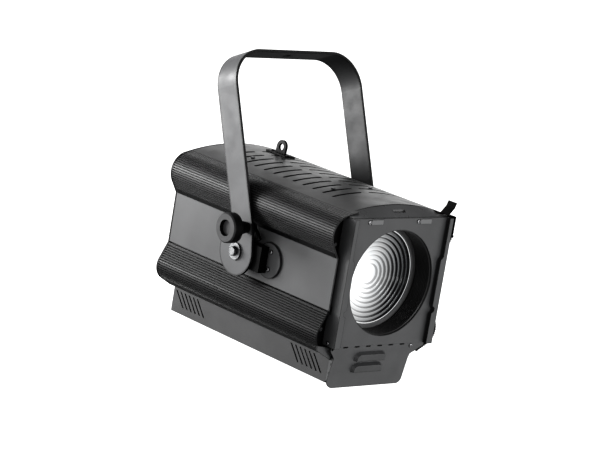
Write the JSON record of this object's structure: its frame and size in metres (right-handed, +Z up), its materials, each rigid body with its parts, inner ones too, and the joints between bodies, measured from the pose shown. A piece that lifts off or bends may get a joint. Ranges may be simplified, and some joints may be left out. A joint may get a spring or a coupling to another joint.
{
  "type": "fresnel spotlight",
  "caption": "Stage spotlight with a stepped lens in a ribbed black housing, a tilting yoke with a lock knob, a colour frame channel with a latch, and an LED engine that slides to focus.",
  "frame": {"origin": "on the surface the lamp stands on, in its plane of symmetry, under the face of the front plate", "axes": "+Y runs back along the optical axis, so the lens faces -Y; +Z up; -X is the side with the lock knob"},
  "size_m": [0.3094, 0.425, 0.4532],
  "materials": {
    "black_extrusion": "satin black powder coat over extruded aluminium",
    "black_sheet": "satin black powder coat over folded sheet steel",
    "yoke_paint": "satin dark grey powder coat over steel strip",
    "lug_paint": "satin black powder coat",
    "zinc": "bright zinc plate",
    "black_screw": "black oxide",
    "label_black": "printed film, left blank",
    "latch_spring": "blackened spring steel",
    "black_plastic": "fine textured moulding",
    "lens_glass": "pressed glass with stepped rings",
    "rubber": "matt",
    "aluminium_bare": "bare, milled",
    "steel_bright": "ground",
    "bronze": "sintered bronze",
    "friction_pad": "fibre friction lining",
    "led_emitter": "ceramic carrier with a yellow phosphor disc",
    "driver_case": "potted driver in a grey case",
    "circuit_board": "green solder resist",
    "display_window": "dark window",
    "button_rubber": "moulded silicone",
    "socket_body": "black nylon"
  },
  "bodies": {
    "housing": {"board_spacers": "steel_bright", "bottom_tray": "black_sheet", "bracket_screws": "zinc", "control_board": "circuit_board", "data_input": "socket_body", "data_output": "socket_body", "display": "display_window", "end_screws": "black_screw", "fresnel_lens": "lens_glass", "friction_discs": "friction_pad", "front_bulkhead": "lug_paint", "front_hood": "black_sheet", "front_plate": "black_sheet", "front_plate_screws": "black_screw", "fuse_holder": "black_plastic", "glare_baffle": "lug_paint", "guide_rods": "steel_bright", "label_strips": "label_black", "latch_ears": "latch_spring", "latch_pin": "latch_spring", "led_driver": "driver_case", "lens_gasket": "rubber", "lens_ring": "black_sheet", "lens_tube": "black_sheet", "lower_rail_left": "black_extrusion", "lower_rail_right": "black_extrusion", "pivot_bolts": "zinc", "pivot_washers": "zinc", "power_inlet": "socket_body", "rear_frame": "black_sheet", "rear_panel": "black_sheet", "rear_trim": "lug_paint", "rubber_feet": "rubber", "safety_eye": "lug_paint", "screw_bearings": "bronze", "side_shell_left": "black_extrusion", "side_shell_right": "black_extrusion", "top_cover": "black_sheet", "top_screws": "black_screw", "yoke_bracket_left": "lug_paint", "yoke_bracket_right": "lug_paint"},
    "yoke": {"yoke": "yoke_paint", "clamp_nut": "zinc"},
    "lock_knob": {"lock_knob": "black_plastic", "lock_stud": "zinc"},
    "frame_latch": {"frame_latch": "latch_spring"},
    "carriage": {"carriage_plate": "aluminium_bare", "carriage_bushes": "bronze", "leadscrew_nut": "bronze", "heatsink": "aluminium_bare", "led_module": "led_emitter", "led_clamp": "aluminium_bare", "fan_frame": "black_plastic"},
    "fan": {"fan_rotor": "black_plastic"},
    "focus_screw": {"leadscrew": "steel_bright", "focus_knob": "black_plastic"},
    "menu_button_1": {"menu_button_1": "button_rubber"},
    "menu_button_2": {"menu_button_2": "button_rubber"},
    "menu_button_3": {"menu_button_3": "button_rubber"},
    "menu_button_4": {"menu_button_4": "button_rubber"}
  },
  "joints": [
    {"name": "yoke_tilt", "type": "hinge", "parent": "housing", "child": "yoke", "pos_m": [0, 0.21, 0.158], "axis": [-1, 0, 0], "range_deg": [-23, 68]},
    {"name": "lock_knob_turn", "type": "hinge", "parent": "yoke", "child": "lock_knob", "pos_m": [-0.15, 0.19287, 0.19944], "axis": [-1, 0, 0], "range_deg": [0, 360]},
    {"name": "latch_swing", "type": "hinge", "parent": "housing", "child": "frame_latch", "pos_m": [0.1027, 0.001, 0.236], "axis": [0, 1, 0], "range_deg": [0, 22], "stiffness_Nm_per_rad": 0.3},
    {"name": "focus_slide", "type": "slide", "parent": "housing", "child": "carriage", "axis": [0, 1, 0], "range_m": [-0.06, 0.06]},
    {"name": "focus_turn", "type": "hinge", "parent": "housing", "child": "focus_screw", "pos_m": [0, 0.4, 0.066], "axis": [0, 1, 0], "range_deg": [-1351, 1351]},
    {"name": "fan_spin", "type": "hinge", "parent": "carriage", "child": "fan", "pos_m": [0, 0.242, 0.164], "axis": [0, 1, 0], "continuous": true},
    {"name": "menu_button_1_press", "type": "slide", "parent": "housing", "child": "menu_button_1", "axis": [0, -1, 0], "range_m": [0, 0.001], "stiffness_N_per_m": 600},
    {"name": "menu_button_2_press", "type": "slide", "parent": "housing", "child": "menu_button_2", "axis": [0, -1, 0], "range_m": [0, 0.001], "stiffness_N_per_m": 600},
    {"name": "menu_button_3_press", "type": "slide", "parent": "housing", "child": "menu_button_3", "axis": [0, -1, 0], "range_m": [0, 0.001], "stiffness_N_per_m": 600},
    {"name": "menu_button_4_press", "type": "slide", "parent": "housing", "child": "menu_button_4", "axis": [0, -1, 0], "range_m": [0, 0.001], "stiffness_N_per_m": 600}
  ],
  "couplings": [
    {"joint": "focus_turn", "follows": "focus_slide", "rad_per_m": 392.7}
  ]
}
